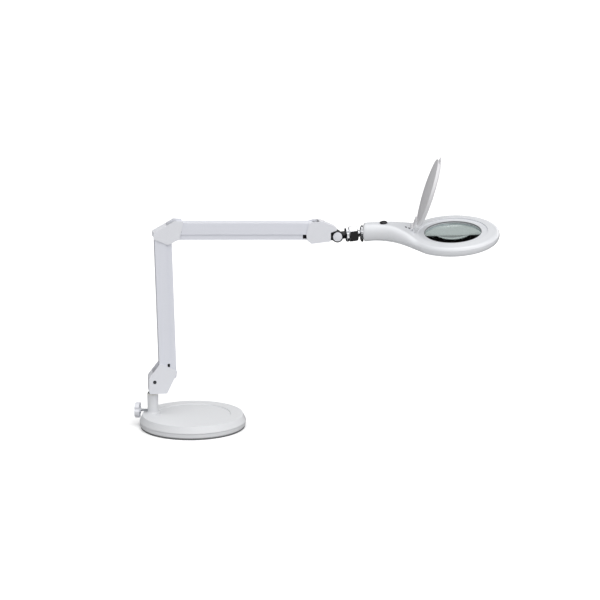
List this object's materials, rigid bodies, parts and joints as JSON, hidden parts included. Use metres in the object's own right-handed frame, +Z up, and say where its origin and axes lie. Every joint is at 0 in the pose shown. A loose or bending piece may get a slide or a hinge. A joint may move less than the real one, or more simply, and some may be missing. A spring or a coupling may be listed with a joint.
{
  "type": "magnifying lamp",
  "caption": "Round-base magnifying lamp: hooded parallelogram arm, tilting ball-joint knuckle and a round lit lens head with a hinged lens cover.",
  "frame": {"origin": "centre of the base's underside, on the surface it rests on", "axes": "+Z up; +X along the arm towards the lens head; the arm's links turn about lines parallel to Y"},
  "size_m": [0.7899, 0.2364, 0.5828],
  "materials": {
    "arm_paint": "white powder coat, satin",
    "shell_white": "satin white plastic",
    "base_paint": "white satin enamel",
    "cast_iron": "raw cast",
    "rubber_dark": "matte",
    "steel": "zinc plated",
    "chrome": "polished",
    "black_metal": "black satin",
    "nylon": "natural nylon",
    "brass": "turned",
    "head_white": "semi-gloss white",
    "cover_grey": "satin light grey",
    "black_plastic": "semi-gloss",
    "lens_glass": "clear, faint green",
    "diffuser": "frosted",
    "circuit": "white solder mask",
    "led": "phosphor"
  },
  "bodies": {
    "base": {"anti_slip_pad": "rubber_dark", "base_tray": "base_paint", "base_cover": "base_paint", "ballast_weight": "cast_iron", "base_screws": "steel", "socket_column": "base_paint", "swivel_bush": "nylon"},
    "clamp_tip": {"clamp_tip": "brass"},
    "clamp_screw": {"clamp_screw": "steel", "clamp_knob": "head_white"},
    "bracket": {"swivel_pin": "steel", "swivel_washer": "rubber_dark", "bracket_core": "steel", "bracket_shell_front": "shell_white", "bracket_shell_back": "shell_white", "inlet_grommet": "rubber_dark", "bracket_pins": "steel", "bracket_screw": "steel"},
    "lower_outer": {"lower_outer_channel": "arm_paint", "lower_spring": "steel"},
    "lower_inner": {"lower_inner_channel": "arm_paint"},
    "elbow": {"elbow_core": "steel", "elbow_shell_front": "shell_white", "elbow_shell_back": "shell_white", "elbow_pins": "steel", "elbow_screw": "steel"},
    "upper_outer": {"upper_outer_channel": "arm_paint", "upper_spring": "steel"},
    "upper_inner": {"upper_inner_channel": "arm_paint"},
    "end": {"end_core": "steel", "end_shell_front": "shell_white", "end_shell_back": "shell_white", "end_pins": "steel", "end_screw": "steel", "end_top_cap": "black_plastic"},
    "knuckle": {"tilt_fork": "black_metal", "tilt_bolt": "steel", "tilt_caps": "head_white", "knuckle_flange": "chrome", "clamp_nut": "chrome", "ball_seat": "nylon"},
    "ball": {"joint_ball": "chrome"},
    "head": {"head_stud": "chrome", "ferrule": "chrome", "head_upper_shell": "head_white", "head_lower_shell": "head_white", "lens": "lens_glass", "lens_retainer": "head_white", "light_diffuser": "diffuser", "led_board": "circuit", "leds": "led", "driver_board": "circuit", "button_spring": "steel", "hinge_ears": "head_white", "hinge_pin": "steel", "hinge_screws": "black_metal"},
    "button": {"power_button": "black_plastic"},
    "cover": {"lens_cover": "cover_grey"}
  },
  "joints": [
    {"name": "clamp_turn", "type": "hinge", "parent": "clamp_tip", "child": "clamp_screw", "pos_m": [-0.09505, 0.02194, 0.0332], "axis": [-0.9744, 0.225, 0], "range_deg": [0, 720]},
    {"name": "clamp_travel", "type": "slide", "parent": "base", "child": "clamp_tip", "axis": [-0.9744, 0.225, 0], "range_m": [0, 0.0025]},
    {"name": "base_swivel", "type": "hinge", "parent": "base", "child": "bracket", "pos_m": [-0.08477, 0.01957, 0.069], "axis": [0, 0, 1], "range_deg": [-170, 170]},
    {"name": "lower_arm_lean", "type": "hinge", "parent": "bracket", "child": "lower_outer", "pos_m": [-0.05797, 0.01957, 0.1184], "axis": [0, 1, 0], "range_deg": [-15, 60], "deforming": ["lower_spring"]},
    {"name": "lower_inner_lean", "type": "hinge", "parent": "bracket", "child": "lower_inner", "pos_m": [-0.03998, 0.01957, 0.11231], "axis": [0, 1, 0], "range_deg": [-15, 60]},
    {"name": "elbow_level", "type": "hinge", "parent": "lower_outer", "child": "elbow", "pos_m": [-0.06475, 0.01957, 0.41732], "axis": [0, 1, 0], "range_deg": [-60, 15]},
    {"name": "upper_arm_lift", "type": "hinge", "parent": "elbow", "child": "upper_outer", "pos_m": [-0.03425, 0.01957, 0.43382], "axis": [0, -1, 0], "range_deg": [-35, 50], "deforming": ["upper_spring"]},
    {"name": "upper_inner_lift", "type": "hinge", "parent": "elbow", "child": "upper_inner", "pos_m": [-0.03234, 0.01957, 0.41592], "axis": [0, -1, 0], "range_deg": [-35, 50]},
    {"name": "end_level", "type": "hinge", "parent": "upper_outer", "child": "end", "pos_m": [0.26916, 0.01957, 0.42641], "axis": [0, -1, 0], "range_deg": [-50, 35]},
    {"name": "head_tilt", "type": "hinge", "parent": "end", "child": "knuckle", "pos_m": [0.31686, 0.01957, 0.40721], "axis": [0, -1, 0], "range_deg": [-85, 50]},
    {"name": "head_pan", "type": "hinge", "parent": "knuckle", "child": "ball", "pos_m": [0.35286, 0.01957, 0.41093], "axis": [-0.1028, 0, 0.9947], "range_deg": [-4, 26]},
    {"name": "head_roll", "type": "hinge", "parent": "ball", "child": "head", "pos_m": [0.35286, 0.01957, 0.41093], "axis": [0.9772, -0.2077, 0.0436], "range_deg": [-102, 78]},
    {"name": "cover_open", "type": "hinge", "parent": "head", "child": "cover", "pos_m": [0.47754, -0.00916, 0.42679], "axis": [-0.1945, -0.9587, -0.2077], "range_deg": [-70, 40]},
    {"name": "button_press", "type": "slide", "parent": "head", "child": "button", "axis": [0.085, 0.1945, -0.9772], "range_m": [0, 0.0015], "stiffness_N_per_m": 1500, "springref_m": -0.0004, "deforming": ["button_spring"]}
  ],
  "couplings": [
    {"joint": "clamp_travel", "follows": "clamp_turn", "m_per_rad": 0.00019894},
    {"joint": "lower_inner_lean", "follows": "lower_arm_lean", "ratio": 1},
    {"joint": "elbow_level", "follows": "lower_arm_lean", "ratio": -1},
    {"joint": "upper_inner_lift", "follows": "upper_arm_lift", "ratio": 1},
    {"joint": "end_level", "follows": "upper_arm_lift", "ratio": -1}
  ]
}
